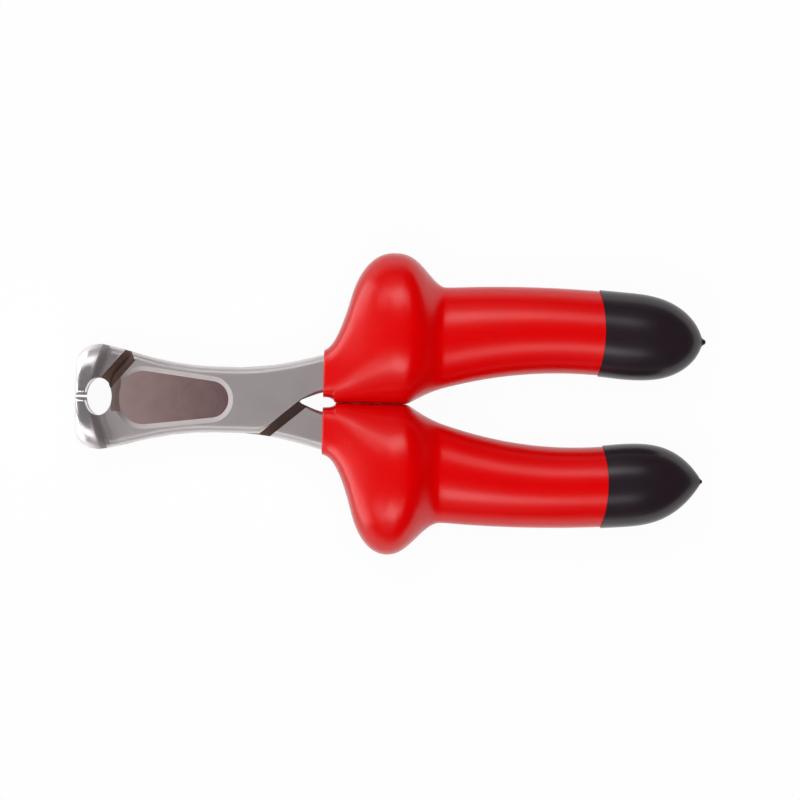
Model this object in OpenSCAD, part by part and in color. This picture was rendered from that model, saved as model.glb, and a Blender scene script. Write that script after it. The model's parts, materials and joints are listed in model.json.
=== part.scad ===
// End cutting nippers with insulated two-colour grips.
// Two identical forged levers lap at the joint, one turned over on the other,
// and a countersunk rivet holds them. Each tang carries an inner coat, a grip with a guard and a tip.

/* [Overall] */
// Length from the front of the jaws to the tips of the grips
overall_l = 160; // [150:1:172]

/* [Head] */
// Distance from the front of the jaws to the pivot axis
jaw_reach = 31.5; // [30:0.5:34]
// Width of the head over both jaws
head_w = 26.8; // [25:0.2:29]
// Length of the cutting edges, across the thickness of the tool
edge_w = 21; // [18:0.5:24]
// Gap between the two cutting edges at rest
edge_gap = 0.6; // [0.4:0.1:1]
// Length of the land behind each cutting edge
edge_land = 2; // [1.6:0.1:2.4]
// Length of the throat between the jaws
throat_l = 7; // [6:0.2:7.8]
// Width of the throat
throat_w = 9.6; // [8:0.2:10.4]
// Length of the rounded nose of each jaw
nose_l = 6; // [5:0.2:7]
// Half width of the flat front of the head
nose_flat = 8.8; // [8:0.2:10]
// Rounding of the jaws along the throat and the cutting edges
jaw_round = 1.2; // [0.8:0.1:1.8]
// Depth of the rounding of the outer corners of the jaws
jaw_back_round = 3.6; // [2.4:0.2:5]
// Width of that rounding
jaw_back_w = 6.4; // [5:0.2:7]

/* [Joint] */
// Thickness of the joint over both levers
joint_t = 10; // [9:0.2:12]
// Width of the waist
waist_w = 16.8; // [15:0.2:18]
// Distance from the pivot axis to the start of the parallel waist
waist_start = 4; // [2:0.5:6]
// Distance from the pivot axis to the end of the parallel waist
waist_end = 11; // [9:0.5:13]
// Gap between the lapped faces
lap_gap = 0.1; // [0.06:0.01:0.2]
// Distance from the pivot axis to the outer end of the boss shoulder
shoulder_x = 17.7; // [16.5:0.1:18.5]
// Angle of the boss shoulder to the centre line
shoulder_angle = 50; // [46:1:56]
// Width of the gap between the boss shoulder and the other jaw
shoulder_gap = 1.5; // [1.2:0.1:2]
// Distance from the pivot axis to the outer end of the slot edge
slot_x = 15.3; // [14:0.1:16.5]
// Angle of the slot to the centre line
slot_angle = 40; // [36:1:44]
// Width of the slot between the boss and the other shank
slot_w = 2.2; // [1.8:0.1:2.8]
// Rounding of the edges along the slot
slot_round = 0.5; // [0.3:0.1:0.9]

/* [Rivet] */
// Diameter of the rivet
rivet_d = 7; // [6:0.1:7.6]
// Diameter of its countersunk heads
rivet_head_d = 9.4; // [8.8:0.1:10]
// Running clearance round the rivet, on the radius
rivet_gap = 0.04; // [0.02:0.01:0.08]

/* [Panel] */
// Depth of the sunk panel in the outer face of each boss
panel_depth = 0.4; // [0.2:0.05:0.6]
// Width of the sloped border round the panel
panel_slope = 1.2; // [0.8:0.1:1.5]
// Distance from the pivot axis to the jaw end of the panel
panel_front = 20.6; // [19.5:0.1:21]
// Distance from the pivot axis to the handle end of the panel
panel_back = 7.2; // [6.4:0.1:9]
// Width of the panel at its jaw end
panel_w = 13.6; // [12.4:0.1:14.2]
// Width of the panel at its handle end
panel_end_w = 9.4; // [8:0.1:10]

/* [Shanks and tangs] */
// Width of each shank where it enters its grip
shank_w = 10.7; // [10:0.1:11.4]
// Gap between the shanks where they enter the grips
shank_gap = 3; // [2.8:0.1:4]
// Gap between the shanks where they part
crotch_gap = 0.8; // [0.6:0.1:1.2]
// Rounding along the waist and the shanks
edge_round = 2.2; // [1.4:0.1:2.6]
// Width of the tang at its end
tang_w = 7; // [6:0.2:8]
// Thickness of the tang at its end
tang_t = 6; // [5.4:0.2:7]
// Rounding of the tang at its end
tang_round = 2; // [1.4:0.1:2.4]
// Distance from the end of the tang to the tip of the grip
tang_setback = 10; // [8:0.5:14]

/* [Inner coats] */
// Thickness of the inner insulating coat
coat_t = 1; // [0.6:0.1:1.4]
// Distance from the front of the grip to the start of the inner coat
coat_setback = 2; // [1:0.2:3]
// Gap left between two layers that are bonded
layer_gap = 0.05; // [0.03:0.01:0.08]

/* [Grips] */
// Distance from the pivot axis to the front of the grips
grip_x = 31.2; // [30:0.2:32.4]
// Thickness of the grip over the steel at its front
collar_wall = 1.2; // [1:0.1:1.8]
// Gap between the collars at their front
collar_gap = 2.5; // [2:0.1:2.6]
// Gap between the two guards at rest
grip_gap = 0.3; // [0.2:0.1:0.8]
// Distance from the pivot axis to the crest of the guard
guard_x = 48.5; // [47:0.5:51]
// Width over both guards
guard_w = 77; // [72:0.4:82]
// Thickness of the guard
guard_t = 27; // [24:0.5:30]
// Length of the rounded front of the guard
guard_front_l = 12; // [11:0.2:13]
// Half width over both grips at the root of the guard
guard_root = 16; // [15.4:0.1:17]
// Thickness of the grip at the root of the guard
guard_root_t = 14.8; // [14.4:0.1:16]
// Length of the flat side where the guards face each other, behind the crest
guard_flat_l = 4.3; // [3.5:0.1:5]
// Distance from the pivot axis to the start of the handles
handle_x = 62; // [60:0.5:65]
// Width over both handles where they are fullest
handle_span = 61.4; // [58:0.2:64]
// How far the outer edge of each handle swells between the guard and the tip
handle_bow = 0.7; // [0.2:0.1:1.2]
// Width of one handle where it is slimmest
handle_w = 21.4; // [20:0.2:23]
// Width of one handle where it leaves the guard
handle_root_w = 25.9; // [25:0.1:27.5]
// Thickness of the handles
handle_t = 17; // [15.6:0.2:19]

/* [Tips] */
// Length of the coloured tip of each grip
tip_l = 26.3; // [24:0.1:30]
// Length over which the tip draws in to its point
point_l = 21.5; // [18:0.5:23]
// Distance of the points from the centre line
point_y = 17.8; // [17:0.1:19]
// Half width of the blunt end of the point
point_nub = 0.6; // [0.4:0.1:1]
// How far the tip stands proud of the grip
tip_proud = 0.3; // [0.1:0.05:0.5]
// How far the line between grip and tip bows towards the point
tip_bow = 1.6; // [0:0.1:2.4]

/* [Hidden] */
$fn = 64;

// Points in one section, a multiple of four
ring_n = 28;
corner_n = ring_n / 4;
// Reach of a cut past the faces that it crosses
overrun = 5;

// Main places along the tool, from the pivot axis
pivot_x = jaw_reach - overall_l / 2;
jaw_x = -jaw_reach;
nose_x = jaw_x + nose_l;
throat_x = jaw_x + edge_land + throat_l / 2;
boss_x = jaw_x + edge_land + throat_l;
grip_end_x = overall_l - jaw_reach;
tip_x = grip_end_x - tip_l;
point_x = grip_end_x - point_l;
tang_end_x = grip_end_x - tang_setback;
coat_x = grip_x + coat_setback;
slot_end_x = slot_x + (waist_w + crotch_gap) / 2 / tan(slot_angle);

// Half sizes
half_head = head_w / 2;
half_waist = waist_w / 2;
half_joint = joint_t / 2;
half_edge = edge_w / 2;
half_guard = guard_w / 2;
half_span = handle_span / 2;
shank_y = (shank_gap + shank_w) / 2;
panel_z = half_joint - panel_depth;

// Shape of the neck curve, of the shank's outward bend and of the waist's fan of sections
neck_share = 0.68;
bend_share = 1.6;
// Part of the neck over which the boss joins the jaw, as shares from the nose to the waist
boss_low_share = 0.44;
boss_high_share = 0.545;
// How far each section of the cheek is along its lower edge, its upper edge and its fall in thickness
cheek_shares = [
    [0.02, 0.22, 1], [0.035, 0.27, 0.92], [0.075, 0.42, 0.22],
    [0.105, 0.49, 0.06], [0.17, 0.61, 0], [0.3, 0.8, 0]
];
// Part of the land that the fan of nose sections takes, and how far the nose is rounded across
land_share = 0.55;
nose_round_share = 0.7;

// Corner radii of the panel at its two ends, as shares of its widths there
panel_round_share = 0.45;
panel_end_round_share = 0.49;

// Shape of the collar's rise, and the part of the collar over which the gap closes
collar_share = 1.5;
close_share = 0.66;
// Shape of the guard's fall and of the bow of the grip behind the guard
fall_share = 1.2;
bow_share = 0.36;
// Place of the slimmest part of the handle, as a share from the guard to the tip of the grip
slim_share = 0.47;
// Place where its outer edge is fullest, as such a share
full_share = 0.31;
// Fullness of the sections of the collar, the guard, the handle and the point
collar_power = 4.5;
guard_power = 2.4;
handle_power = 2.1;
point_power = 2;
// Fullness of the point's outline, and the places of its sections
point_share = 3;
point_shares = [0, 0.24, 0.4, 0.54, 0.66, 0.77, 0.86, 0.93, 0.98, 1];

function mix(a, b, s) = a + (b - a) * s;
function ease(s) = (1 - cos(180 * s)) / 2;
function signed_pow(v, p) = sign(v) * pow(abs(v), p);

// Outline of the levers: half width over both of them at a distance x from the pivot axis
function neck(x) =
    mix(half_head, half_waist, ease(pow(max(0, x - nose_x) / (waist_start - nose_x), neck_share)));
function bend(x) =
    mix(half_waist, shank_y + shank_w / 2, pow((x - waist_end) / (grip_x - waist_end), bend_share));
function side(x) = x < waist_start ? neck(x) : x < waist_end ? half_waist : bend(x);
function shoulder(x) = neck(-shoulder_x) + (x + shoulder_x) * tan(shoulder_angle);
function slot(x) = (x - slot_x) * tan(slot_angle) - half_waist;
function crotch(x) = mix(crotch_gap, shank_gap, sin(90 * (x - slot_end_x) / (grip_x - slot_end_x))) / 2;

// Outline of the grips
slim_x = mix(handle_x, grip_end_x, slim_share);
function hollow(x) =
    half_span - handle_w - (handle_root_w - handle_w) * pow((x - slim_x) / (handle_x - slim_x), 2);
full_x = mix(handle_x, grip_end_x, full_share);
function swell(x) = half_span - handle_bow * pow((x - full_x) / (full_x - handle_x), 2);
function point_part(x) = max(0, (x - point_x) / point_l);
function handle_mid(x) =
    let (at = min(x, point_x))
    mix((swell(at) + hollow(at)) / 2, point_y, point_part(x));
function handle_half(x) =
    let (at = min(x, point_x))
    (swell(at) - hollow(at)) / 2;

// A section as points [u, z] with its corners rounded alike at each end, each by [width, depth],
// and one with full, pillow-like sides
function even(r) = [r, r];
function soft_rect(hu, hz, low_r, high_r) = [
    for (q = [0:3], j = [0:corner_n - 1])
        let (a = 90 * (q + j / (corner_n - 1)), high = q == 0 || q == 3, r = high ? high_r : low_r)
        [(high ? hu - r.x : r.x - hu) + r.x * cos(a), (q < 2 ? hz - r.y : r.y - hz) + r.y * sin(a)]
];
function pillow(hu, hz, power) = let (full = pow(cos(180 / ring_n), 2 / power)) [
    for (i = [0:ring_n - 1])
        let (a = 360 * (i + 0.5) / ring_n)
        [hu * signed_pow(cos(a), 2 / power), hz * signed_pow(sin(a), 2 / power)] / full
];
// A section stood upright on the line between two points of the plan
function upright(low, high, section) =
    let (mid = (low + high) / 2, way = (high - low) / norm(high - low))
    [for (p = section) [mid.x + way.x * p.x, mid.y + way.y * p.x, p.y]];

function lever_ring(low, high, hz, low_r, high_r) =
    upright(low, high, soft_rect(norm(high - low) / 2, hz, low_r, high_r));
function grip_ring(x, inner, outer, hz, power) =
    upright([x, inner], [x, outer], pillow((outer - inner) / 2, hz, power));
// The line between grip and tip, bowed towards the point: the handle's section there, grown on all sides
function line_x(y) = tip_x + tip_bow * (1 - pow((y - handle_mid(tip_x)) / handle_half(tip_x), 2));
function line_ring(grow, ahead) = [
    for (p = grip_ring(tip_x, hollow(tip_x) - grow, swell(tip_x) + grow, handle_t / 2 + grow, handle_power))
        [line_x(p.y) + ahead, p.y, p.z]
];

// The tang's section at x, grown on all sides
function tang_mid(x) =
    x < handle_x ? mix(shank_y, handle_mid(handle_x), (x - grip_x) / (handle_x - grip_x)) : handle_mid(x);
function tang_ring(x, grow, at) =
    let (
        s = (x - grip_x) / (tang_end_x - grip_x),
        hu = mix(shank_w, tang_w, s) / 2 + grow,
        hz = mix(joint_t, tang_t, s) / 2 + grow,
        r = mix(edge_round, tang_round, s) + grow
    )
    upright([at, tang_mid(x) - hu], [at, tang_mid(x) + hu], soft_rect(hu, hz, even(r), even(r)));

// The edge of the pocket round the coated tang, bowed as the line between grip and tip is
function pocket_ring(grow, ahead) =
    let (straight = tang_ring(tip_x, grow, tip_x))
    [
        for (i = [0:ring_n - 1])
            let (x = line_x(straight[i].y))
            tang_ring(x, grow, x + ahead)[i]
    ];

// Places of the tang's sections, with one at the line between grip and tip
grip_tang_n = 7;
tip_tang_n = 3;
grip_tang_x = [for (i = [0:grip_tang_n - 1]) mix(coat_x, tip_x, i / grip_tang_n)];
tip_tang_x = [for (i = [1:tip_tang_n]) mix(tip_x, tang_end_x, i / tip_tang_n)];
all_tang_x = concat(grip_tang_x, [tip_x], tip_tang_x);
function backwards(list) = [for (i = [len(list) - 1:-1:0]) list[i]];

// Sections of a lever from the nose of its jaw to the end of its tang
nose_rings = [
    for (a = [0:22.5:90])
        lever_ring(
            [nose_x - nose_l * cos(a), -mix(nose_flat, half_head, sin(a))],
            [jaw_x + edge_land * land_share * a / 90, -edge_gap / 2],
            half_edge - jaw_round * nose_round_share * pow(1 - sin(a), 3),
            [jaw_back_w, jaw_back_round], even(jaw_round)
        )
];
cheek_rings = [
    for (s = cheek_shares)
        let (x = mix(nose_x, waist_start, s[0]))
        lever_ring(
            [x, -neck(x)],
            [jaw_x + (edge_land + throat_l) * s[1], -edge_gap / 2],
            mix(half_joint, half_edge, s[2]),
            mix(even(edge_round), [jaw_back_w, jaw_back_round], s[2]), even(jaw_round)
        )
];
shoulder_rings = [
    for (s = [0:0.5:1])
        let (
            low_x = mix(nose_x, waist_start, mix(boss_low_share, boss_high_share, s)),
            high_x = mix(boss_x, -shoulder_x, s)
        )
        lever_ring(
            [low_x, -neck(low_x)], [high_x, shoulder(high_x)],
            half_joint, even(edge_round), even(mix(jaw_round, edge_round, s))
        )
];
waist_rings = [
    for (s = [0.25:0.25:1])
        let (
            low_x = mix(mix(nose_x, waist_start, boss_high_share), waist_start, s),
            high_x = mix(-shoulder_x, waist_start, s)
        )
        lever_ring(
            [low_x, -neck(low_x)], [high_x, neck(high_x)],
            half_joint, even(edge_round), even(edge_round)
        )
];
slot_rings = [
    for (x = concat([waist_end], [for (i = [0:4]) mix(slot_x, slot_end_x, i / 4)]))
        lever_ring(
            [x, max(-half_waist, slot(x))], [x, side(x)],
            half_joint, even(x > slot_x ? slot_round : edge_round), even(edge_round)
        )
];
shank_rings = [
    for (i = [1:3])
        let (x = mix(slot_end_x, grip_x, i / 3))
        lever_ring(
            [x, crotch(x)], [x, side(x)],
            half_joint, even(mix(slot_round, edge_round, i / 3)), even(edge_round)
        )
];
tang_rings = [for (x = all_tang_x) tang_ring(x, 0, x)];
lever_rings = concat(
    nose_rings, cheek_rings, shoulder_rings, waist_rings, slot_rings, shank_rings, tang_rings
);

// Outer sections of a grip: collar, rounded guard front, guard back and handle
guard_start = 15;
guard_start_x = guard_x - guard_front_l * cos(guard_start);
guard_start_y = mix(guard_root, half_guard, sin(guard_start));
guard_start_z = mix(guard_root_t, guard_t, pow(sin(guard_start), 2)) / 2;
collar_rings = [
    for (i = [0:2])
        let (s = i / 3, rise = pow(s, collar_share))
        grip_ring(
            mix(grip_x, guard_start_x, s),
            mix(collar_gap, grip_gap, min(1, pow(s / close_share, collar_share))) / 2,
            mix(shank_y + shank_w / 2 + collar_wall, guard_start_y, rise),
            mix(half_joint + collar_wall, guard_start_z, rise),
            collar_power
        )
];
guard_rings = [
    for (a = [guard_start:15:90])
        grip_ring(
            guard_x - guard_front_l * cos(a),
            grip_gap / 2,
            mix(guard_root, half_guard, sin(a)),
            mix(guard_root_t, guard_t, pow(sin(a), 2)) / 2,
            mix(collar_power, guard_power, sin(a))
        )
];
guard_flat_x = guard_x + guard_flat_l;
function guard_back_inner(x) =
    let (s = max(0, x - guard_flat_x) / (handle_x - guard_flat_x))
    mix(grip_gap / 2, hollow(handle_x), s + bow_share * s * (1 - s));
back_rings = [
    for (i = [1:7])
        let (x = mix(guard_x, handle_x, i / 7), fall = ease(pow(i / 7, fall_share)))
        grip_ring(
            x,
            guard_back_inner(x),
            mix(half_guard, swell(handle_x), fall),
            mix(guard_t, handle_t, fall) / 2,
            mix(guard_power, handle_power, fall)
        )
];
handle_rings = [
    for (i = [1:4])
        let (x = mix(handle_x, tip_x, i / 5))
        grip_ring(x, hollow(x), swell(x), handle_t / 2, handle_power)
];
// Outer sections of a tip, drawn in to a blunt point
point_rings = [
    for (u = point_shares)
        let (
            x = point_x + point_l * u,
            fill = 1 - pow(u, point_share),
            half = max(point_nub, (handle_half(x) + tip_proud) * fill)
        )
        grip_ring(
            x, handle_mid(x) - half, handle_mid(x) + half,
            max(point_nub, (handle_t / 2 + tip_proud) * fill), mix(handle_power, point_power, u)
        )
];

// A closed solid through a row of sections, with flat ends or joined end to end
module loft(rings, joined = false) {
    m = len(rings);
    sides = [
        for (k = [0:m - (joined ? 1 : 2)], i = [0:ring_n - 1], half = [0, 1])
            let (
                a = k * ring_n + i,
                b = k * ring_n + (i + 1) % ring_n,
                c = (k + 1) % m * ring_n + (i + 1) % ring_n,
                d = (k + 1) % m * ring_n + i
            )
            half == 0 ? [a, c, b] : [a, d, c]
    ];
    ends = joined ? [] : [
        [for (i = [0:ring_n - 1]) i],
        [for (i = [ring_n - 1:-1:0]) (m - 1) * ring_n + i]
    ];
    polyhedron([for (ring = rings, p = ring) p], concat(sides, ends));
}

// Plan of the space that one lever leaves for the boss of the other
module lap_plan() {
    shoulder_back = shoulder_gap / sin(shoulder_angle);
    slot_ahead = slot_w / sin(slot_angle);
    low_x = -shoulder_x - shoulder_back + overrun / tan(shoulder_angle);
    high_x = slot_x + slot_ahead - overrun / tan(slot_angle);
    polygon([
        [throat_x, -shoulder(throat_x + shoulder_back)],
        [low_x, -neck(-shoulder_x) - overrun],
        [slot_end_x + slot_ahead, -neck(-shoulder_x) - overrun],
        [slot_end_x + slot_ahead, -crotch_gap / 2],
        [high_x, half_waist + overrun],
        [throat_x, half_waist + overrun]
    ]);
}

// Plan of the sunk panel: round at the jaw end and narrower towards the handles
module panel_plan() {
    front_r = panel_w * panel_round_share;
    back_r = panel_end_w * panel_end_round_share;
    hull()
        for (way = [-1, 1]) {
            translate([front_r - panel_front, way * (panel_w / 2 - front_r)]) circle(front_r);
            translate([panel_back - back_r, way * (panel_end_w / 2 - back_r)]) circle(back_r);
        }
}

// The space of the panel, from its floor up a sloped border
module panel_form() {
    hull() {
        translate([0, 0, panel_z]) linear_extrude(panel_depth) panel_plan();
        translate([0, 0, half_joint]) linear_extrude(overrun) offset(panel_slope) panel_plan();
    }
}

// The rivet and the hole for it: a shank between two countersunk heads, flush with the panels
module rivet_form(grow) {
    r = rivet_d / 2 + grow;
    head_r = rivet_head_d / 2 + grow;
    sink_z = panel_z - (rivet_head_d - rivet_d) / 2;
    rotate_extrude()
        polygon([
            [0, -panel_z], [head_r, -panel_z], [r, -sink_z],
            [r, sink_z], [head_r, panel_z], [0, panel_z]
        ]);
}

// One forged lever, jaw below the centre line and handle above it, with the lap below its boss
module lever() {
    difference() {
        loft(lever_rings);
        translate([throat_x, 0, -half_edge - overrun])
            linear_extrude(edge_w + 2 * overrun) scale([throat_l / throat_w, 1]) circle(throat_w / 2);
        translate([0, 0, -half_edge - overrun])
            linear_extrude(half_edge + overrun + lap_gap / 2) lap_plan();
        panel_form();
        rivet_form(rivet_gap);
    }
}

// Dipped inner coat: follows the tang and closes over its end
module inner_coat() {
    loft(concat(
        [tang_ring(tang_end_x, layer_gap, tang_end_x + layer_gap)],
        [for (x = backwards(all_tang_x)) tang_ring(x, layer_gap, x)],
        [for (x = all_tang_x) tang_ring(x, coat_t, x)],
        [tang_ring(tang_end_x, coat_t, tang_end_x + coat_t)]
    ));
}

// Grip with its guard: closed round the shank in front, open behind where the tip goes on
module grip() {
    cover = coat_t + layer_gap;
    loft(concat(
        collar_rings, guard_rings, back_rings, handle_rings,
        [line_ring(0, 0), pocket_ring(cover, 0)],
        [for (x = backwards(grip_tang_x)) tang_ring(x, cover, x)],
        [tang_ring(coat_x, cover, coat_x - layer_gap), tang_ring(coat_x, layer_gap, coat_x - layer_gap)],
        [tang_ring(grip_x, layer_gap, grip_x)]
    ), joined = true);
}

// Tip: carries the handle's outline on to its point
module tip() {
    cover = coat_t + layer_gap;
    loft(concat(
        [tang_ring(tang_end_x, cover, tang_end_x + cover)],
        [for (x = backwards(tip_tang_x)) tang_ring(x, cover, x)],
        [pocket_ring(cover, layer_gap), line_ring(0, layer_gap), line_ring(tip_proud, layer_gap)],
        point_rings
    ));
}

// The rear lever and its layers are the front ones turned over about the centre line
module turned_over() {
    rotate([180, 0, 0]) children();
}

module from_pivot() {
    translate([pivot_x, 0, 0]) children();
}

module front_lever() {
    color("silver") from_pivot() lever();
}

module rear_lever() {
    color("silver") from_pivot() turned_over() lever();
}

module pivot_rivet() {
    color("dimgray") from_pivot() rivet_form(0);
}

module front_inner_coat() {
    color("gold") from_pivot() inner_coat();
}

module rear_inner_coat() {
    color("gold") from_pivot() turned_over() inner_coat();
}

module front_grip() {
    color("red") from_pivot() grip();
}

module rear_grip() {
    color("red") from_pivot() turned_over() grip();
}

module front_tip() {
    color([0.15, 0.14, 0.15]) from_pivot() tip();
}

module rear_tip() {
    color([0.15, 0.14, 0.15]) from_pivot() turned_over() tip();
}

front_lever();
rear_lever();
pivot_rivet();
front_inner_coat();
rear_inner_coat();
front_grip();
rear_grip();
front_tip();
rear_tip();
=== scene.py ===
import json
import math

import bmesh
import bpy
from mathutils import Matrix, Vector


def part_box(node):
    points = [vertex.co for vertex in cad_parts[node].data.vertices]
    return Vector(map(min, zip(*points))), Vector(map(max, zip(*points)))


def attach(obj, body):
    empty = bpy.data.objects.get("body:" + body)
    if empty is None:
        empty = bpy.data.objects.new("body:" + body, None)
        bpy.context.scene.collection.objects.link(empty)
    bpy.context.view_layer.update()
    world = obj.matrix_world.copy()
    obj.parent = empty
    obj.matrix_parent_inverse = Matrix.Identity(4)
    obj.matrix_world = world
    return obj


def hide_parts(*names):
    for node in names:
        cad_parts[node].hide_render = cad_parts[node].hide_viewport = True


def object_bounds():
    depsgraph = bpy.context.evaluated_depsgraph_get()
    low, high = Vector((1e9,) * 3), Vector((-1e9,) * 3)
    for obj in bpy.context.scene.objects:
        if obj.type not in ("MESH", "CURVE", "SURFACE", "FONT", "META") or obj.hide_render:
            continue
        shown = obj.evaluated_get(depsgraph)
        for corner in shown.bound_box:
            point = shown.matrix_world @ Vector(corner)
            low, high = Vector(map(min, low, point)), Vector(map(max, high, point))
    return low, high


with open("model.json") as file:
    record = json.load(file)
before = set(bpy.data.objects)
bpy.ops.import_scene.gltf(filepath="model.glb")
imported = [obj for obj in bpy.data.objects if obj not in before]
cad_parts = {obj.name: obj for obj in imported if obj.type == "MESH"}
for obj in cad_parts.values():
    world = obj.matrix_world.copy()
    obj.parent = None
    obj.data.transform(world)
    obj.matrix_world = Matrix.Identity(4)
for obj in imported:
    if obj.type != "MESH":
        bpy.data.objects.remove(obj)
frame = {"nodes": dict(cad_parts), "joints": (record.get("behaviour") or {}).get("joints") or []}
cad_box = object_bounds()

# The two levers
# Each is one drop forging of chrome-vanadium steel with its jaw, half of the lap joint, shank and
# tang. The outside is belt ground and the jaws are polished, while sunk and inner faces keep the
# brown scale of the forge. On the lap, the walls of the wedge gap and slot, the shoulder's chamfer
# and the rivet hole that scale is darkened as painted shade, and the rounded outer edges get a
# lighter steel as a painted highlight.
MM = 0.001
pivot_x = frame["joints"][0]["pos_m"][0]
panel_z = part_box("pivot_rivet")[1].z
rim_rise = 0.4 * MM
merge_gap = 0.002 * MM
plane_angle = math.radians(0.3)
rim_angle = math.radians(12)
smooth_angle = math.radians(26)

# Places on a lever, in mm from the pivot's axis and from the plane of the lap
panel_front_x, panel_back_x = -20.6, 7.2
polish_start_x, polish_full_x = -25.8, -28.0
boss_front_x, boss_back_x = -8.0, 8.0
shoulder_x, shoulder_y, shoulder_band = -17.7, 11.64, 2.2
shoulder_angle = math.radians(50)
chamfer_inner_y, chamfer_outer_y = 1.5, 9.5
slot_x, slot_y, slot_before, slot_after = 15.3, 8.4, 2.4, 2.8
slot_angle = math.radians(40)
rivet_hole_r = 4.9
lap_band = 0.2
panel_band = 0.05
strip_front_x, strip_back_x = -22.65, -20.3
strip_inner_y, strip_outer_y = -3.6, 8.0
step_front_x, step_back_x, step_z = -29.5, -15.0, 5.02
blade_back_x, blade_y = -27.0, 2.5
border_front_x, border_y = -24.0, 6.0
crotch_front_x, crotch_back_x = 25.79, 31.2
crotch_half_gap = (0.4, 1.5)
crotch_round = (0.5, 2.2)
crotch_reach = 2.3
crotch_slack = 0.01
crotch_pinch = 1.0
crotch_pinch_start = 0.45

# Slopes of a lever's faces, as the upward part of their normals, and then as a sideways part
flat_up, chamfer_up, round_up, level_up, steep_up, upright_up = 0.99, 0.985, 0.97, 0.9, 0.3, 0.1
chamfer_lean, step_lean, blade_lean = 0.05, 0.3, 0.4

# A Mix node that is set to colours takes them at these inputs and gives their mix at this output
colour_a, colour_b, colour_out = 6, 7, 2


def linear(code):
    """An sRGB hex colour as the linear colour that shaders take."""
    parts = [int(code[i:i + 2], 16) / 255 for i in (1, 3, 5)]
    return [p / 12.92 if p <= 0.04045 else ((p + 0.055) / 1.055) ** 2.4 for p in parts] + [1.0]


def add_node(tree, kind, settings=None, inputs=None):
    """Adds a node with its settings. An input is a plain value or another node's output."""
    node = tree.nodes.new(kind)
    for name, value in (settings or {}).items():
        setattr(node, name, value)
    for name, value in (inputs or {}).items():
        if isinstance(value, bpy.types.NodeSocket):
            tree.links.new(value, node.inputs[name])
        else:
            node.inputs[name].default_value = value
    return node


def new_material(name):
    """An empty node material, with the shader that everything in it ends in."""
    material = bpy.data.materials.new(name)
    material.use_nodes = True
    tree = material.node_tree
    tree.nodes.clear()
    shader = add_node(tree, "ShaderNodeBsdfPrincipled")
    add_node(tree, "ShaderNodeOutputMaterial", None, {"Surface": shader.outputs[0]})
    return material, tree, shader


def satin_steel(name, dark, light):
    """Ground tool steel: soft grey reflections with a fine grain along the tool, and brighter and
    sharper ones on the polished jaws. The grain is drawn coarser than it is, so that it shows."""
    material, tree, shader = new_material(name)
    place = add_node(tree, "ShaderNodeTexCoord").outputs["Object"]
    cloud = add_node(tree, "ShaderNodeTexNoise", None, {
        "Vector": place, "Scale": 1 / (7 * MM), "Detail": 3.0})
    ground = add_node(tree, "ShaderNodeMix", {"data_type": "RGBA"}, {
        0: cloud.outputs[0], colour_a: linear(dark), colour_b: linear(light)})
    length = add_node(tree, "ShaderNodeSeparateXYZ", None, {"Vector": place}).outputs["X"]
    polish = add_node(tree, "ShaderNodeMapRange", None, {
        "Value": length, "From Min": pivot_x + polish_start_x * MM,
        "From Max": pivot_x + polish_full_x * MM, "To Min": 0.0, "To Max": 1.0})
    tone = add_node(tree, "ShaderNodeMix", {"data_type": "RGBA"}, {
        0: polish.outputs[0], colour_a: ground.outputs[colour_out], colour_b: linear("#eee8e9")})
    along = add_node(tree, "ShaderNodeMapping", None, {"Vector": place, "Scale": (0.06, 1.0, 1.0)})
    grain = add_node(tree, "ShaderNodeTexNoise", None, {
        "Vector": along.outputs[0], "Scale": 1 / (0.35 * MM), "Detail": 2.0})
    rough = add_node(tree, "ShaderNodeMapRange", None, {
        "Value": grain.outputs[0], "To Min": 0.46, "To Max": 0.56})
    gloss = add_node(tree, "ShaderNodeMath", {"operation": "MULTIPLY_ADD"}, {
        0: polish.outputs[0], 1: -0.2, 2: rough.outputs[0]})
    bump = add_node(tree, "ShaderNodeBump", None, {
        "Height": grain.outputs[0], "Strength": 0.08, "Distance": 0.02 * MM})
    tree.links.new(tone.outputs[colour_out], shader.inputs["Base Color"])
    tree.links.new(gloss.outputs[0], shader.inputs["Roughness"])
    tree.links.new(bump.outputs[0], shader.inputs["Normal"])
    shader.inputs["Metallic"].default_value = 1.0
    return material


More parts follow.
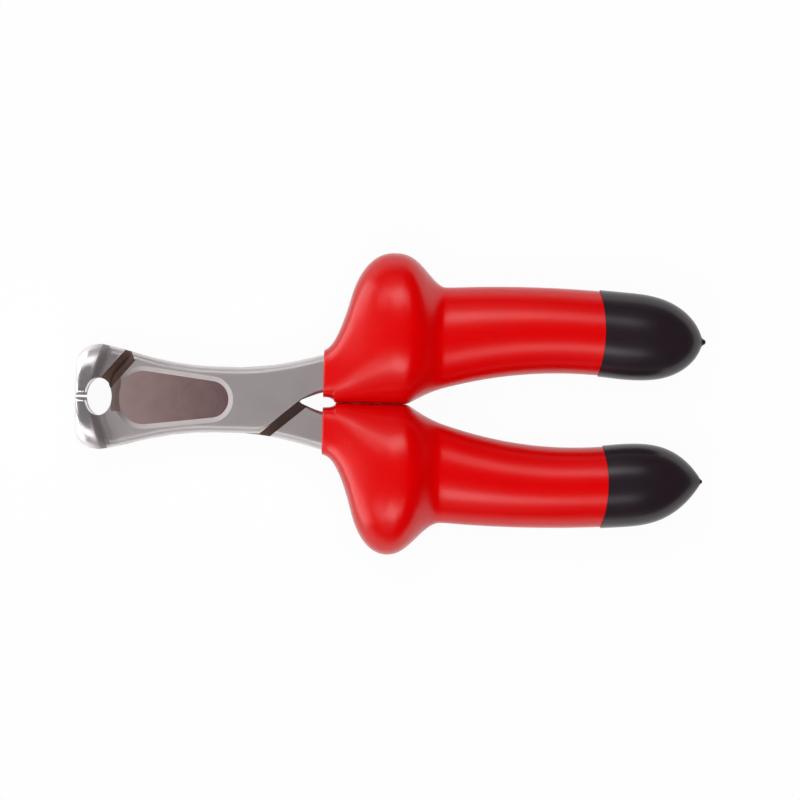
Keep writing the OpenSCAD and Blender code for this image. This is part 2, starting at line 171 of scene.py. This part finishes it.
def forge_scale_and_painted_shade(name, jaw_end, handle_end):
    """Thin oxide left on the forged skin where no belt reaches: dull and blotched, brown in the
    hollows and grey where it is thin, and drifting to another tone towards the handles. Where it
    is given darker tones for shaded hollows and walls, that darkening is painted shade."""
    material, tree, shader = new_material(name)
    place = add_node(tree, "ShaderNodeTexCoord").outputs["Object"]
    length = add_node(tree, "ShaderNodeSeparateXYZ", None, {"Vector": place}).outputs["X"]
    blotch = add_node(tree, "ShaderNodeTexNoise", None, {
        "Vector": place, "Scale": 1 / (3.5 * MM), "Detail": 4.0})
    drift = add_node(tree, "ShaderNodeMapRange", None, {
        "Value": length, "From Min": pivot_x + panel_front_x * MM,
        "From Max": pivot_x + panel_back_x * MM, "To Min": -0.25, "To Max": 0.75})
    share = add_node(tree, "ShaderNodeMath", {"operation": "MULTIPLY_ADD", "use_clamp": True}, {
        0: blotch.outputs[0], 1: 0.5, 2: drift.outputs[0]})
    tone = add_node(tree, "ShaderNodeMix", {"data_type": "RGBA"}, {
        0: share.outputs[0], colour_a: linear(jaw_end), colour_b: linear(handle_end)})
    skin = add_node(tree, "ShaderNodeTexNoise", None, {
        "Vector": place, "Scale": 1 / (0.5 * MM), "Detail": 3.0})
    gloss = add_node(tree, "ShaderNodeMapRange", None, {
        "Value": skin.outputs[0], "To Min": 0.45, "To Max": 0.6})
    bump = add_node(tree, "ShaderNodeBump", None, {
        "Height": skin.outputs[0], "Strength": 0.15, "Distance": 0.05 * MM})
    tree.links.new(tone.outputs[colour_out], shader.inputs["Base Color"])
    tree.links.new(gloss.outputs[0], shader.inputs["Roughness"])
    tree.links.new(bump.outputs[0], shader.inputs["Normal"])
    shader.inputs["Metallic"].default_value = 0.35
    return material


def finish_of(centre, normal, way):
    """Names the finish of a lever's face by its place, in mm from the pivot, and by its slope."""
    x, y, z = (centre.x - pivot_x) / MM, way * centre.y / MM, way * centre.z / MM
    up = way * normal.z
    past_shoulder = (
        (x - shoulder_x) * math.sin(shoulder_angle)
        - (abs(y) - shoulder_y) * math.cos(shoulder_angle))
    past_slot = (x - slot_x) * math.sin(slot_angle) - (slot_y - abs(y)) * math.cos(slot_angle)
    near_shoulder = x < boss_front_x and -shoulder_band < past_shoulder < shoulder_band
    near_slot = x > boss_back_x and -slot_before < past_slot < slot_after
    if abs(abs(z) - panel_z / MM) < panel_band and abs(up) > flat_up:
        return "panel"
    # The lap and the steep walls of the wedge gap and slot take brown scale darkened as painted
    # shade.
    if abs(z) < lap_band and abs(up) > level_up:
        return "gap"
    if abs(up) < steep_up and (near_shoulder or near_slot):
        return "gap"
    # The shoulder's chamfer takes the darkest tone, painted shade over a little scale.
    if near_shoulder and y > chamfer_inner_y and z > 0:
        if normal.x < -chamfer_lean or up > chamfer_up and y < chamfer_outer_y:
            return "chamfer"
    # The rivet hole's walls take it too, a painted shade hairline round the rivet.
    if math.hypot(x, y) < rivet_hole_r and abs(up) < level_up:
        return "chamfer"
    if strip_front_x < x < strip_back_x and strip_inner_y < y < strip_outer_y:
        if z > 0 and up > steep_up:
            return "strip"
    # The steep faces behind the jaw tops and the sides of the cutting bevels take a duller, less
    # metallic grey.
    if abs(z) > step_z and step_front_x < x < step_back_x and normal.x > step_lean:
        return "step"
    if x < blade_back_x and abs(y) < blade_y and abs(normal.y) > blade_lean:
        return "step"
    # Rounded outer edges of the waist and shank take a lighter steel, a painted highlight.
    if x > border_front_x and abs(y) > border_y and normal.y * centre.y > 0:
        if upright_up < abs(up) < round_up:
            return "border"
    return "ground"


def mix(low, high, share):
    """A value between two others, by its share of the way."""
    return low + (high - low) * share


def pinch_crotch(bm, way):
    """Draws in the rounding of a shank's inner edge, so that the shanks part in a wedge."""
    for vert in bm.verts:
        x = (vert.co.x - pivot_x) / MM
        share = (x - crotch_front_x) / (crotch_back_x - crotch_front_x)
        if -crotch_slack < share < 1 + crotch_slack:
            edge_y = mix(*crotch_half_gap, math.sin(share * math.pi / 2))
            inside = (edge_y + mix(*crotch_round, share)) * MM - way * vert.co.y
            if 0 < inside < crotch_reach * MM:
                pinch = crotch_pinch / crotch_round[1] * mix(crotch_pinch_start, 1.0, share)
                vert.co.y += way * inside * pinch


def mark_sharp(bm):
    """Shades a mesh smooth, but for its edges that are bent by more than the roundings are."""
    for face in bm.faces:
        face.smooth = True
    for edge in bm.edges:
        edge.smooth = edge.calc_face_angle(0.0) < smooth_angle


def finish_piece(bm, name, materials, body, node):
    """Makes a bmesh a piece that stands for a CAD node and moves with its body."""
    mesh = bpy.data.meshes.new(name)
    bm.to_mesh(mesh)
    bm.free()
    for material in materials:
        mesh.materials.append(material)
    piece = bpy.data.objects.new(name, mesh)
    bpy.context.scene.collection.objects.link(piece)
    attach(piece, body)
    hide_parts(node)
    return piece


panel_scale = forge_scale_and_painted_shade("forge_scaled_panel", "#9a8381", "#6c5352")
finishes = {
    "ground": satin_steel("satin_polished_steel", "#c6bcbd", "#d4cccc"),
    "panel": panel_scale,
    # Gap tone: brown scale, darkened as painted shade in the gap and slot.
    "gap": forge_scale_and_painted_shade("scale_and_painted_shade_gap", "#7d6259", "#6a544e"),
    # Chamfer tone: painted shade on the shoulder's chamfer and in the rivet hole.
    "chamfer": forge_scale_and_painted_shade("scale_and_painted_shade_chamfer", "#4d3831", "#463530"),
    "strip": forge_scale_and_painted_shade("forge_scaled_strip", "#7a6762", "#6f5d59"),
    # A duller, less metallic grey on the steep faces and bevel sides.
    "step": forge_scale_and_painted_shade("dull_grey_step", "#9a9697", "#8f8b8c"),
    # A lighter steel on the rounded edges, a painted highlight.
    "border": satin_steel("rounded_edge_steel_painted_highlight", "#dfd8d8", "#eae4e4"),
}
for side, way in (("rear", -1), ("front", 1)):
    forging = bmesh.new()
    forging.from_mesh(frame["nodes"][side + "_lever"].data)
    bmesh.ops.remove_doubles(forging, verts=forging.verts, dist=merge_gap)
    bmesh.ops.dissolve_limit(
        forging, angle_limit=plane_angle, verts=forging.verts, edges=forging.edges)
    pinch_crotch(forging, way)
    band_x = shoulder_x + shoulder_band / math.sin(shoulder_angle)
    band_across = (math.sin(shoulder_angle), -way * math.cos(shoulder_angle), 0)
    for x, y, across in (
            (strip_front_x, 0, (1, 0, 0)), (strip_back_x, 0, (1, 0, 0)),
            (0, strip_inner_y, (0, 1, 0)), (band_x, shoulder_y, band_across)):
        bmesh.ops.bisect_plane(
            forging, geom=forging.verts[:] + forging.edges[:] + forging.faces[:],
            plane_co=(pivot_x + x * MM, way * y * MM, 0), plane_no=across)
    mark_sharp(forging)
    for face in forging.faces:
        centre = face.calc_center_median()
        face.material_index = list(finishes).index(finish_of(centre, face.normal, way))
        on_rim = panel_z < abs(centre.z) < panel_z + rim_rise
        if on_rim and level_up < abs(face.normal.z) < round_up:
            for edge in face.edges:
                edge.smooth = edge.calc_face_angle(0.0) < rim_angle
    lever = finish_piece(
        forging, "forged_lever_" + side, finishes.values(),
        side + "_half", side + "_lever")
    even = lever.modifiers.new("even shading", "WEIGHTED_NORMAL")
    even.keep_sharp = True

# The pivot rivet
# A steel pin through both bosses, countersunk and peened at each end and ground flush with the
# panels, so that only a hairline ring shows. That ring is painted shade: the rivet hole's walls
# take the darkest scale tone.
frame["nodes"]["pivot_rivet"].data.materials.clear()
frame["nodes"]["pivot_rivet"].data.materials.append(panel_scale)

# The inner coats
# A first dip of yellow vinyl, baked onto each tang under the red one. It shows only when the red
# is worn through.


def dipped_vinyl(name, dark, light, rough):
    """Vinyl plastisol, dipped and baked: a soft gloss with slow waves and a faint mottle."""
    material, tree, shader = new_material(name)
    place = add_node(tree, "ShaderNodeTexCoord").outputs["Object"]
    mottle = add_node(tree, "ShaderNodeTexNoise", None, {
        "Vector": place, "Scale": 1 / (9 * MM), "Detail": 3.0})
    tone = add_node(tree, "ShaderNodeMix", {"data_type": "RGBA"}, {
        0: mottle.outputs[0], colour_a: linear(dark), colour_b: linear(light)})
    wave = add_node(tree, "ShaderNodeTexNoise", None, {
        "Vector": place, "Scale": 1 / (6 * MM), "Detail": 0.0})
    gloss = add_node(tree, "ShaderNodeMapRange", None, {
        "Value": wave.outputs[0], "To Min": rough - 0.02, "To Max": rough + 0.02})
    bump = add_node(tree, "ShaderNodeBump", None, {
        "Height": wave.outputs[0], "Strength": 0.03, "Distance": 0.05 * MM})
    tree.links.new(tone.outputs[colour_out], shader.inputs["Base Color"])
    tree.links.new(gloss.outputs[0], shader.inputs["Roughness"])
    tree.links.new(bump.outputs[0], shader.inputs["Normal"])
    shader.inputs["IOR"].default_value = 1.5
    return material


yellow_vinyl = dipped_vinyl("dipped_yellow_vinyl", "#d9a514", "#edbd27", 0.45)
for side in ("rear", "front"):
    coat = frame["nodes"][side + "_inner_coat"]
    coat.data.materials.clear()
    coat.data.materials.append(yellow_vinyl)

# The grips
# Thick red vinyl over each tang, built up in dips, with a large hand guard behind the collar.
# It is one closed skin: collar, guard and handle outside, the pocket for the coated tang inside.
grip_low, grip_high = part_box("front_grip")
tip_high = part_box("front_tip")[1]
section_points = 48
skin_fineness = 2
shank_w = 10.7 * MM
shank_t = 10.0 * MM
shank_y = 6.85 * MM
collar_wall = 1.2 * MM
collar_gap = 2.5 * MM
collar_gap_reach = 2.2 * MM
collar_shares = (0.1, 0.2, 0.28, 0.34, 0.38, 0.4, 0.42, 0.46, 0.54, 0.62, 0.7, 0.78, 0.86, 0.93)
gap_open_share = 0.12
gap_close_share = 0.3
lip_round = 0.2 * MM
lip_l = 1.9 * MM
grip_gap = 0.006 * MM
guard_x = 0.0
guard_front_l = {"rear": 10.85 * MM, "front": 12.0 * MM}
guard_front_start = math.radians(30)
guard_front_rings = 12
guard_back_rings = 14
guard_root_y = 16.0 * MM
guard_flat_l = 4.3 * MM
guard_front_power = 2.15
guard_foot_power = {"rear": 2.05, "front": 1.8}
guard_back_power = {"rear": 1.1, "front": 1.4}
guard_back_bulge = 0.36
crest_x = 3.4 * MM
crest_fall_power = 1.2
handle_x = 13.5 * MM
handle_w = {"rear": 20.7 * MM, "front": 21.8 * MM}
handle_root_w = {"rear": 25.8 * MM, "front": 26.3 * MM}
handle_t = 17.0 * MM
handle_y = 30.7 * MM
handle_bow = 0.7 * MM
handle_rings = 8
slim_x = handle_x + 0.47 * (tip_high.x - handle_x)
full_x = handle_x + 0.31 * (tip_high.x - handle_x)
tip_x = {"rear": tip_high.x - 25.7 * MM, "front": tip_high.x - 27.4 * MM}
tip_bow = 1.6 * MM
point_l = 21.5 * MM
point_x = tip_high.x - point_l
tang_end_x = tip_high.x - 10.0 * MM
tang_end_w = 7.0 * MM
tang_end_t = 6.0 * MM
tang_cover = 1.05 * MM
pocket_front_x = grip_low.x + 2.0 * MM
pocket_rings = 8
layer_gap = 0.05 * MM
collar_fullness = 3.5
guard_fullness = 2.4
handle_fullness = 2.1
pocket_fullness = 5.0


def ease(share):
    """A share of the way that starts and ends slowly."""
    return (1 - math.cos(math.pi * share)) / 2


def handle_inner(x, side="front"):
    """Inner edge of a handle: hollow between guard and tip, and deeper in the slimmer rear one."""
    slim, root = handle_w[side], handle_root_w[side]
    return handle_y - slim - (root - slim) * ((x - slim_x) / (handle_x - slim_x)) ** 2


def handle_outer(x):
    """Outer edge of a handle, with a slight swell."""
    return handle_y - handle_bow * ((x - full_x) / (full_x - handle_x)) ** 2


def guard_half_t(x):
    """Half thickness of the grip: it swells from collar to crest and falls to the handle."""
    if x < crest_x:
        share = (x - grip_low.x) / (crest_x - grip_low.x)
        early_rise = 1.5 * share - share ** 3 / 2
        return mix(shank_t / 2 + collar_wall, grip_high.z, (early_rise + ease(share)) / 2)
    fall = ((x - crest_x) / (handle_x - crest_x)) ** crest_fall_power
    return mix(grip_high.z, handle_t / 2, ease(fall))


def guard_rise(angle):
    """Rise of the guard's front, from its foot to its crest, by the angle round it."""
    return (1 - math.cos(angle) ** guard_front_power) ** (1 / guard_front_power)


def grip_fullness(x):
    """How square the grip's section is: nearly a block at the collar, a pillow at the guard."""
    share = (x - grip_low.x) / (guard_x - grip_low.x)
    return mix(collar_fullness, guard_fullness, ease(share))


def tang_section(x, grow):
    """Middle, half width and half thickness of the pocket round the tang."""
    share = (x - grip_low.x) / (tang_end_x - grip_low.x)
    at = max(handle_x, min(x, point_x))
    middle = (handle_outer(at) + handle_inner(at)) / 2
    if x < handle_x:
        middle = mix(shank_y, middle, (x - grip_low.x) / (handle_x - grip_low.x))
    half_w = mix(shank_w, tang_end_w, share) / 2 + grow
    half_t = mix(shank_t, tang_end_t, share) / 2 + grow
    return middle, half_w, half_t


def add_section(bm, x, middle, half_w, half_t, fullness, crease=0.0):
    """One ring of a skin: a circle drawn out to a pillow shape and stood upright across the tool.
    It is swollen by what it loses when the skin is made fine."""
    swell = 3 / (2 + math.cos(2 * math.pi / section_points) ** (2 / fullness))
    ring = bmesh.ops.create_circle(bm, segments=section_points, radius=swell)["verts"]
    for vert in ring:
        across, up = (
            swell * math.copysign(abs(c / swell) ** (2 / fullness), c) for c in vert.co.xy)
        vert.co = (x, middle + half_w * across, half_t * up)
    edges = list({edge for vert in ring for edge in vert.link_edges})
    sharp = bm.edges.layers.float.get("crease_edge")
    for edge in edges:
        edge[sharp] = crease
    return edges


def bow_ring(edges, side, ahead=0.0):
    """Lays a ring on the line where red and black meet, which bows towards the point."""
    inner, outer = handle_inner(tip_x[side], side), handle_outer(tip_x[side])
    for vert in {vert for edge in edges for vert in edge.verts}:
        across = (2 * vert.co.y - inner - outer) / (outer - inner)
        vert.co.x = tip_x[side] + tip_bow * (1 - across ** 2) + ahead
    return edges


def line_section(bm, side, grow, ahead=0.0):
    """The outline of the handle on the line where red and black meet, grown on all sides."""
    inner, outer = handle_inner(tip_x[side], side), handle_outer(tip_x[side])
    ring = add_section(
        bm, tip_x[side], (inner + outer) / 2, (outer - inner) / 2 + grow, handle_t / 2 + grow,
        handle_fullness, 1.0)
    return bow_ring(ring, side, ahead)


def pocket_line_section(bm, side, ahead=0.0):
    """The outline of the pocket on the line where red and black meet."""
    ring = add_section(
        bm, tip_x[side], *tang_section(tip_x[side], tang_cover), pocket_fullness, 1.0)
    return bow_ring(ring, side, ahead)


def bridge_all(bm, rings, joined):
    """Skins a row of rings, and the last to the first where the skin is closed on itself."""
    pairs = list(zip(rings, rings[1:]))
    if joined:
        pairs.append((rings[-1], rings[0]))
    for one, other in pairs:
        bmesh.ops.bridge_loops(bm, edges=one + other)


def grip_sections(side):
    """Places of the grip's rings: x, inner edge, outer edge, half thickness, fullness and the gap
    that the inner edge leaves at the collar."""
    rows = []
    inner = grip_gap / 2
    start_x = guard_x - guard_front_l[side] * math.cos(guard_front_start)
    start_y = mix(guard_root_y, grip_high.y, guard_rise(guard_front_start))
    collar_y = shank_y + shank_w / 2 + collar_wall
    collar_z = shank_t / 2 + collar_wall
    for x, less in ((grip_low.x, lip_round), (grip_low.x + lip_round, 0.0)):
        rows.append((
            x, inner, collar_y - less, collar_z - less, collar_fullness, collar_gap / 2))
    for share in collar_shares:
        x = mix(grip_low.x, start_x, share)
        outer = mix(collar_y, start_y, share ** guard_foot_power[side])
        closed = max(0, (share - gap_open_share) / gap_close_share)
        gap = collar_gap / 2 * max(0, 1 - closed ** 2) ** 0.5
        rows.append((x, inner, outer, guard_half_t(x), grip_fullness(x), gap))
    for i in range(guard_front_rings + 1):
        angle = mix(guard_front_start, math.pi / 2, i / guard_front_rings)
        x = guard_x - guard_front_l[side] * math.cos(angle)
        outer = mix(guard_root_y, grip_high.y, guard_rise(angle))
        rows.append((x, inner, outer, guard_half_t(x), grip_fullness(x), 0.0))
    for i in range(1, guard_back_rings + 1):
        share = i / guard_back_rings
        x = mix(guard_x, handle_x, share)
        fall = ease(share ** guard_back_power[side])
        back = max(0.0, (x - guard_x - guard_flat_l) / (handle_x - guard_x - guard_flat_l))
        back += guard_back_bulge * back * (1 - back)
        rows.append((
            x, mix(inner, handle_inner(handle_x, side), back),
            mix(grip_high.y, handle_outer(handle_x), fall), guard_half_t(x),
            mix(guard_fullness, handle_fullness, fall), 0.0))
    for i in range(1, handle_rings):
        x = mix(handle_x, tip_x[side], i / handle_rings)
        rows.append((
            x, handle_inner(x, side), handle_outer(x), handle_t / 2, handle_fullness, 0.0))
    return rows


def new_skin():
    """An empty mesh whose edges can be kept sharp when it is made fine."""
    bm = bmesh.new()
    bm.edges.layers.float.new("crease_edge")
    return bm


def finish_skin(bm, side, kind, vinyl):
    """Makes a skin a piece, turned over for the rear lever, and makes it fine."""
    if side == "rear":
        bmesh.ops.rotate(bm, verts=bm.verts, matrix=Matrix.Rotation(math.pi, 3, "X"))
    bmesh.ops.recalc_face_normals(bm, faces=bm.faces)
    mark_sharp(bm)
    piece = finish_piece(
        bm, "dipped_" + kind + "_" + side, [vinyl], side + "_half", side + "_" + kind)
    fine = piece.modifiers.new("fine skin", "SUBSURF")
    fine.levels = fine.render_levels = skin_fineness


red_vinyl = dipped_vinyl("dipped_red_vinyl", "#dc0002", "#e80103", 0.26)
for side in ("rear", "front"):
    skin = new_skin()
    rings = []
    for x, inner, outer, half_t, fullness, gap in grip_sections(side):
        rings.append(add_section(
            skin, x, (inner + outer) / 2, (outer - inner) / 2, half_t, fullness))
        for vert in {vert for edge in rings[-1] for vert in edge.verts}:
            vert.co.y += gap * math.exp(-vert.co.y / collar_gap_reach)
    rings.append(line_section(skin, side, 0.0))
    rings.append(pocket_line_section(skin, side))
    for i in range(1, pocket_rings + 1):
        x = mix(tip_x[side], pocket_front_x, i / pocket_rings)
        rings.append(add_section(skin, x, *tang_section(x, tang_cover), pocket_fullness))
    for x in (grip_low.x + lip_l, grip_low.x):
        middle, half_w, half_t = tang_section(x, layer_gap)
        pinch = crotch_pinch * MM / 2
        rings.append(add_section(
            skin, x, middle + pinch, half_w - pinch, half_t, pocket_fullness, 1.0))
    bridge_all(skin, rings, True)
    finish_skin(skin, side, "grip", red_vinyl)

# The tips
# Black vinyl, the last dip over the end of each grip. It stands a little proud of the red and ends
# in a point where the last drop hung.
tip_proud = 0.3 * MM
point_y = 17.8 * MM
point_nub = {"rear": 0.45 * MM, "front": 0.85 * MM}
point_drop = {"rear": 0.2 * MM, "front": 0.9 * MM}
point_power = {"rear": 3.0, "front": 2.85}
point_round = {"rear": 0.9, "front": 0.62}
point_shares = (
    0, 0.12, 0.24, 0.34, 0.44, 0.52, 0.6, 0.67, 0.74, 0.8, 0.85, 0.89, 0.92, 0.95, 0.97, 0.985, 1)
nub_end = 0.6
round_fullness = 2.0
black_vinyl = dipped_vinyl("dipped_black_vinyl", "#251c22", "#2b2128", 0.26)
for side in ("rear", "front"):
    skin = new_skin()
    rings = []
    for x in (tang_end_x + tang_cover, tang_end_x, (tip_x[side] + tang_end_x) / 2):
        rings.append(add_section(
            skin, x, *tang_section(min(x, tang_end_x), tang_cover), pocket_fullness, 1.0))
    rings.append(pocket_line_section(skin, side, layer_gap))
    rings.append(line_section(skin, side, 0.0, layer_gap))
    rings.append(line_section(skin, side, tip_proud, layer_gap))
    inner, outer = handle_inner(point_x, side), handle_outer(point_x)
    nub = point_nub[side]
    for share in point_shares:
        taper = (1 - share ** point_power[side]) ** point_round[side]
        rings.append(add_section(
            skin, point_x + (point_l - point_drop[side]) * share,
            mix((inner + outer) / 2, point_y, share),
            max(nub, ((outer - inner) / 2 + tip_proud) * taper),
            max(nub, (handle_t / 2 + tip_proud) * taper),
            mix(handle_fullness, round_fullness, share)))
    rings.append(add_section(
        skin, tip_high.x, point_y, nub_end * nub, nub_end * nub, round_fullness))
    bridge_all(skin, rings, False)
    bmesh.ops.holes_fill(skin, edges=skin.edges)
    finish_skin(skin, side, "tip", black_vinyl)

# The floor
# A plain table of white paper under the tool. It shows as white to the camera and in reflections,
# and keeps a faint soft shadow.
floor_z = cad_box[0][2]
floor_half = 3.0
floor_glow = 0.95
floor_mesh = bpy.data.meshes.new("floor")
slab = bmesh.new()
bmesh.ops.create_grid(slab, x_segments=1, y_segments=1, size=floor_half)
bmesh.ops.translate(slab, verts=slab.verts, vec=(0, 0, floor_z))
slab.to_mesh(floor_mesh)
slab.free()
floor = bpy.data.objects.new("floor", floor_mesh)
bpy.context.scene.collection.objects.link(floor)
paper, tree, shader = new_material("white_paper")
paper.cycles.emission_sampling = "NONE"
rays = add_node(tree, "ShaderNodeLightPath")
seen = add_node(tree, "ShaderNodeMath", {"operation": "MAXIMUM"}, {
    0: rays.outputs["Is Camera Ray"], 1: rays.outputs["Is Glossy Ray"]})
shown = add_node(tree, "ShaderNodeMath", {"operation": "MAXIMUM"}, {
    0: seen.outputs[0], 1: rays.outputs["Is Transmission Ray"]})
part = add_node(tree, "ShaderNodeMath", {"operation": "MULTIPLY"}, {
    0: shown.outputs[0], 1: floor_glow})
glow = add_node(tree, "ShaderNodeEmission", None, {"Color": (1, 1, 1, 1), "Strength": 1.0})
both = add_node(tree, "ShaderNodeMixShader", None, {
    0: part.outputs[0], 1: shader.outputs[0], 2: glow.outputs[0]})
shader.inputs["Base Color"].default_value = linear("#f4f4f4")
shader.inputs["Roughness"].default_value = 0.9
tree.links.new(both.outputs[0], tree.nodes["Material Output"].inputs["Surface"])
floor_mesh.materials.append(paper)

# The light
# A dark room with a bright low wall, brightest beyond the jaws. On each side a row of three strip
# boxes draws the long highlights, with a weak panel beyond it. A low card beyond the jaws shows in
# reflections only, and a broad fill from above gives even light without a mirror image.
wall_low, wall_high = 0.08, 0.36
wall_light, room_light = 0.85, 0.01
jaw_end_share, handle_end_share, dark_from = 1.5, 0.0, 0.5
strip_y, strip_z, strip_h = 0.25, 0.43, 0.14
panel_y = 0.48
world = bpy.data.worlds.new("studio")
bpy.context.scene.world = world
world.use_nodes = True
tree = world.node_tree
sky = add_node(tree, "ShaderNodeTexCoord").outputs["Generated"]
toward = add_node(tree, "ShaderNodeSeparateXYZ", None, {"Vector": sky})
wall = add_node(tree, "ShaderNodeMapRange", {"interpolation_type": "SMOOTHSTEP"}, {
    "Value": toward.outputs["Z"], "From Min": wall_low, "From Max": wall_high,
    "To Min": wall_light, "To Max": room_light})
ends = add_node(tree, "ShaderNodeMapRange", None, {
    "Value": toward.outputs["X"], "From Min": -1.0, "From Max": dark_from,
    "To Min": jaw_end_share, "To Max": handle_end_share})
level = add_node(tree, "ShaderNodeMath", {"operation": "MULTIPLY"}, {
    0: wall.outputs[0], 1: ends.outputs[0]})
tree.links.new(level.outputs[0], tree.nodes["Background"].inputs["Strength"])
tree.nodes["Background"].inputs["Color"].default_value = (1, 1, 1, 1)


def soft_box(name, where, width, height, power):
    """A rectangular lamp that faces the tool."""
    lamp = bpy.data.lights.new(name, "AREA")
    lamp.shape = "RECTANGLE"
    lamp.size, lamp.size_y, lamp.energy = width, height, power
    box = bpy.data.objects.new(name, lamp)
    bpy.context.scene.collection.objects.link(box)
    box.location = where
    box.rotation_euler = (-Vector(where)).to_track_quat("-Z", "Y").to_euler()
    box.visible_camera = False
    return box


for side, way in (("far", 1), ("near", -1)):
    for name, x, width, power in (
            ("strip_box_", -0.085, 0.23, 0.355), ("strip_box_jaw_end_", -0.305, 0.21, 0.14),
            ("strip_box_handle_end_", 0.09, 0.12, 0.07)):
        soft_box(name + side, (x, way * strip_y, strip_z), width, strip_h, power)
    soft_box("side_panel_" + side, (-0.11, way * panel_y, 0.42), 0.38, 0.3, 0.08)
card = soft_box("card", (-0.2, 0.0, 0.0625), 0.35, 0.125, 0.4)
card.visible_diffuse = False
fill = soft_box("fill", (0.1, 0.0, 1.2), 1.2, 1.2, 11.0)
fill.visible_glossy = False
fill.data.cycles.use_multiple_importance_sampling = False

# The camera
# Straight above the tool and far off, with the tool lying a little askew in the picture.
camera_x, camera_y, camera_height = 2.36 * MM, 1.06 * MM, 1.6
picture_px = 800
px_size = 0.2552 * MM
askew = math.atan(0.0258)
camera_data = bpy.data.cameras.new("camera")
camera_data.sensor_width = 36.0
camera_data.lens = camera_data.sensor_width * camera_height / (picture_px * px_size)
camera_data.clip_end = 20.0
camera = bpy.data.objects.new("camera", camera_data)
bpy.context.scene.collection.objects.link(camera)
camera.location = (camera_x, camera_y, camera_height)
camera.rotation_euler = (0, 0, askew)
bpy.context.scene.camera = camera
bpy.context.scene.view_settings.view_transform = "Standard"
